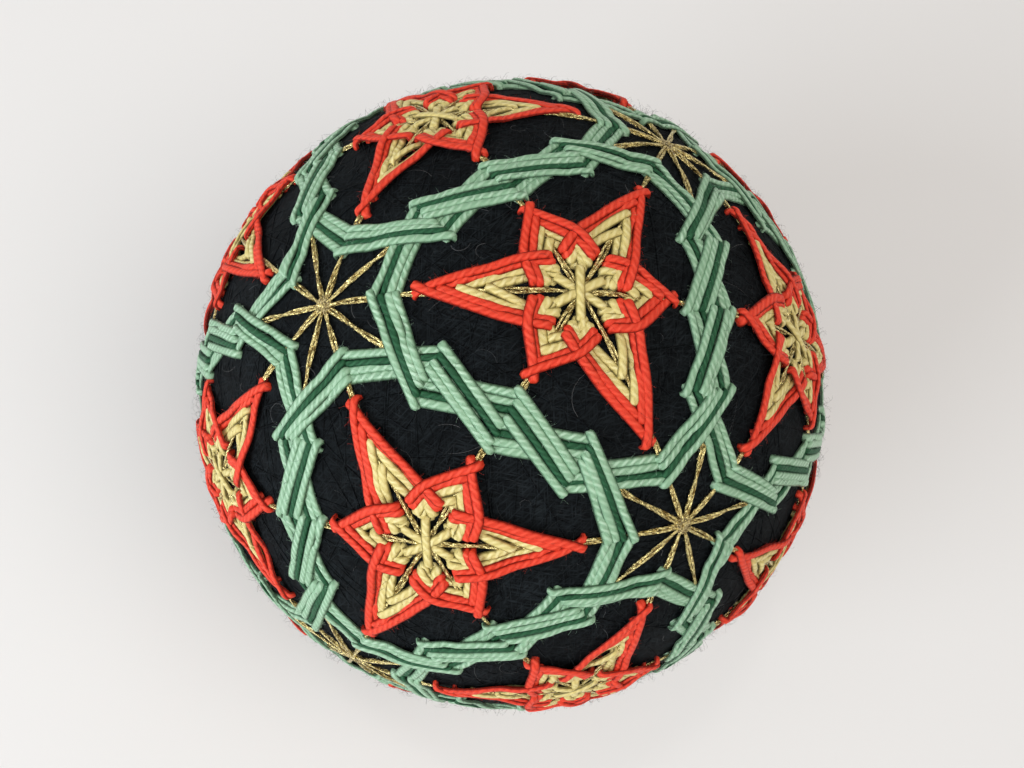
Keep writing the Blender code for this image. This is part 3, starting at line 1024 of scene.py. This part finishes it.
def grow_hairs(draw, roots, starts, kind):
    """Hairs that leave the surface at their start heights, rise, lean over and curl."""
    count = len(roots)
    steps = kind["steps"]
    east = unit(np.cross(roots, random_ways(draw, count)))[:, None]
    north = np.cross(roots[:, None], east)
    along = np.linspace(0, 1, steps)
    heading = kind["curl"] * draw.normal(size=(count, 1)) * along
    step = draw.uniform(*kind["length"], (count, 1)) / (steps - 1)
    forward = np.cumsum(np.cos(heading) * step, 1)[..., None]
    sideways = np.cumsum(np.sin(heading) * step, 1)[..., None]
    rise = draw.uniform(*kind["rise"], (count, 1)) * np.sin(along * draw.uniform(*HAIR_ARCS, (count, 1)))
    ways = unit(roots[:, None] + (forward * east + sideways * north) / BALL_RADIUS)
    points = ways * (BALL_RADIUS + starts[:, None] + rise)[..., None]
    tangent = unit(np.gradient(points, axis=1))
    side = unit(np.cross(ways, tangent))
    tilt = draw.uniform(0, math.pi, (count, 1, 1))
    radius = kind["radius"] * np.linspace(1, HAIR_TIP, steps)[:, None]
    edges = radius * (np.cos(tilt) * side + np.sin(tilt) * np.cross(tangent, side))
    piece = Piece()
    piece.hairs(points, edges)
    return piece


def lint(draw, kind):
    return grow_hairs(draw, random_ways(draw, kind["count"]), np.full(kind["count"], LINT_START), kind)


def thread_fuzz(draw, pieces, count):
    """Short hairs that stand off the threads of one colour."""
    ways = np.concatenate([ways for piece in pieces for ways, heights in piece.laid])
    heights = np.concatenate([heights for piece in pieces for ways, heights in piece.laid])
    places = draw.integers(0, len(ways), count)
    starts = heights[places] + draw.uniform(*HAIR_STARTS, count)
    return grow_hairs(draw, ways[places], starts, COTTON_HAIR)


def finish_stitching(name, pieces, bed, stitched):
    for colour, piece in pieces.items():
        for thread in piece.threads:
            piece.thread(thread, bed.sunk(thread))
        piece.finish(f"{name}_{colour}", MATERIALS[colour], SLOTS[colour], [name])
        stitched[colour].append(piece)


def build_object():
    draw = np.random.default_rng(SEED)
    bed = Bed(BED_ROOM)
    core_ball()
    wind_ball(draw).finish("winding", MATERIALS["black"], SLOTS["black"])
    lines, rosettes = lay_markings(bed, draw)
    for number, line in enumerate(lines, start=1):
        line.finish(f"marking_{number:02d}", MATERIALS["gold"], SLOTS["gold"])
    for number, (rosette, up) in enumerate(zip(rosettes, PENTAGONS)):
        name = ROSETTE_NAMES[number]
        tack(up, bed, draw).finish(f"tack_{name}", MATERIALS["tack"], SLOTS["gold"], [name])
        rosette.finish(f"gold_{name}", MATERIALS["gold"], SLOTS["gold"], [name])
    stars = [stitch_star(up, bed, draw) for up in STARS]
    rings = stitch_rings(bed, draw)
    stitched = {colour: [] for colour in HAIRS}
    for number, (star, ring) in enumerate(zip(stars, rings), start=1):
        finish_stitching(f"star_{number:02d}", star, bed, stitched)
        finish_stitching(f"ring_{number:02d}", ring, bed, stitched)
    for colour, count in HAIRS.items():
        hairs = thread_fuzz(draw, stitched[colour], count)
        hairs.finish(f"hairs_{colour}", MATERIALS[f"{colour}_hair"], SLOTS[colour])
    lint(draw, FUZZ).finish("fuzz", MATERIALS["fuzz"], SLOTS["black"])
    lint(draw, LINT).finish("lint", MATERIALS["lint"], SLOTS["black"])


# Camera, floor and light

def camera_axes():
    """Right, up and back of the camera, in the row's frame."""
    azimuth, elevation, roll = (math.radians(CAMERA[key]) for key in ("azimuth", "elevation", "roll"))
    back = np.array([
        math.sin(azimuth) * math.cos(elevation), -math.cos(azimuth) * math.cos(elevation), math.sin(elevation)
    ])
    level = unit(np.cross([0, 0, 1], back))
    steep = np.cross(back, level)
    right = level * math.cos(roll) + steep * math.sin(roll)
    return right, np.cross(back, right), back


def place_object(made, right, up, back, location):
    matrix = Matrix.Identity(4)
    for column, values in enumerate((right, up, back, location)):
        for row in range(3):
            matrix[row][column] = float(values[row])
    made.matrix_world = matrix


def add_camera():
    right, up, back = camera_axes()
    data = bpy.data.cameras.new("camera")
    data.sensor_width = SENSOR_WIDTH
    data.lens = SENSOR_WIDTH / 2 / math.tan(math.radians(CAMERA["field"]) / 2)
    data.clip_start = 0.01
    made = new_object("camera", data)
    eye = BALL_CENTRE + back * CAMERA_BACK + right * CAMERA_ASIDE + up * CAMERA_ABOVE
    place_object(made, right, up, back, eye * MM)
    bpy.context.scene.camera = made


def add_light(name, toward, distance, size, energy, colour):
    """An area light that shines on the ball from a direction given in the camera's axes."""
    right, up, back = camera_axes()
    way = unit(toward[0] * right + toward[1] * up + toward[2] * back)
    data = bpy.data.lights.new(name, "AREA")
    data.shape = "DISK"
    data.size = size
    data.energy = energy
    data.color = colour
    made = new_object(name, data)
    level = unit(np.cross([0.1, 0.2, 1], way))
    place_object(made, level, np.cross(way, level), way, BALL_CENTRE * MM + way * distance)


def add_floor():
    bpy.ops.mesh.primitive_plane_add(size=FLOOR_SIZE, location=(0, 0, 0))
    floor = bpy.context.object
    floor.name = "floor"
    material, shader = new_material("floor", 0.75)
    tree, add = node_maker(material)
    place = add("ShaderNodeTexCoord").outputs["Object"]
    colour = mixed(add, noise(add, place, 9.0, 3.0), *FLOOR_TONES)
    tree.links.new(colour, shader.inputs["Base Color"])
    floor.data.materials.append(material)


def add_world():
    world = bpy.data.worlds.new("room")
    world.use_nodes = True
    background = world.node_tree.nodes["Background"]
    background.inputs["Color"].default_value = ROOM_COLOUR
    background.inputs["Strength"].default_value = ROOM_STRENGTH
    bpy.context.scene.world = world
    bpy.context.scene.view_settings.view_transform = "Standard"


def main():
    build_object()
    add_camera()
    add_floor()
    add_world()
    for light in LIGHTS:
        add_light(**light)


main()
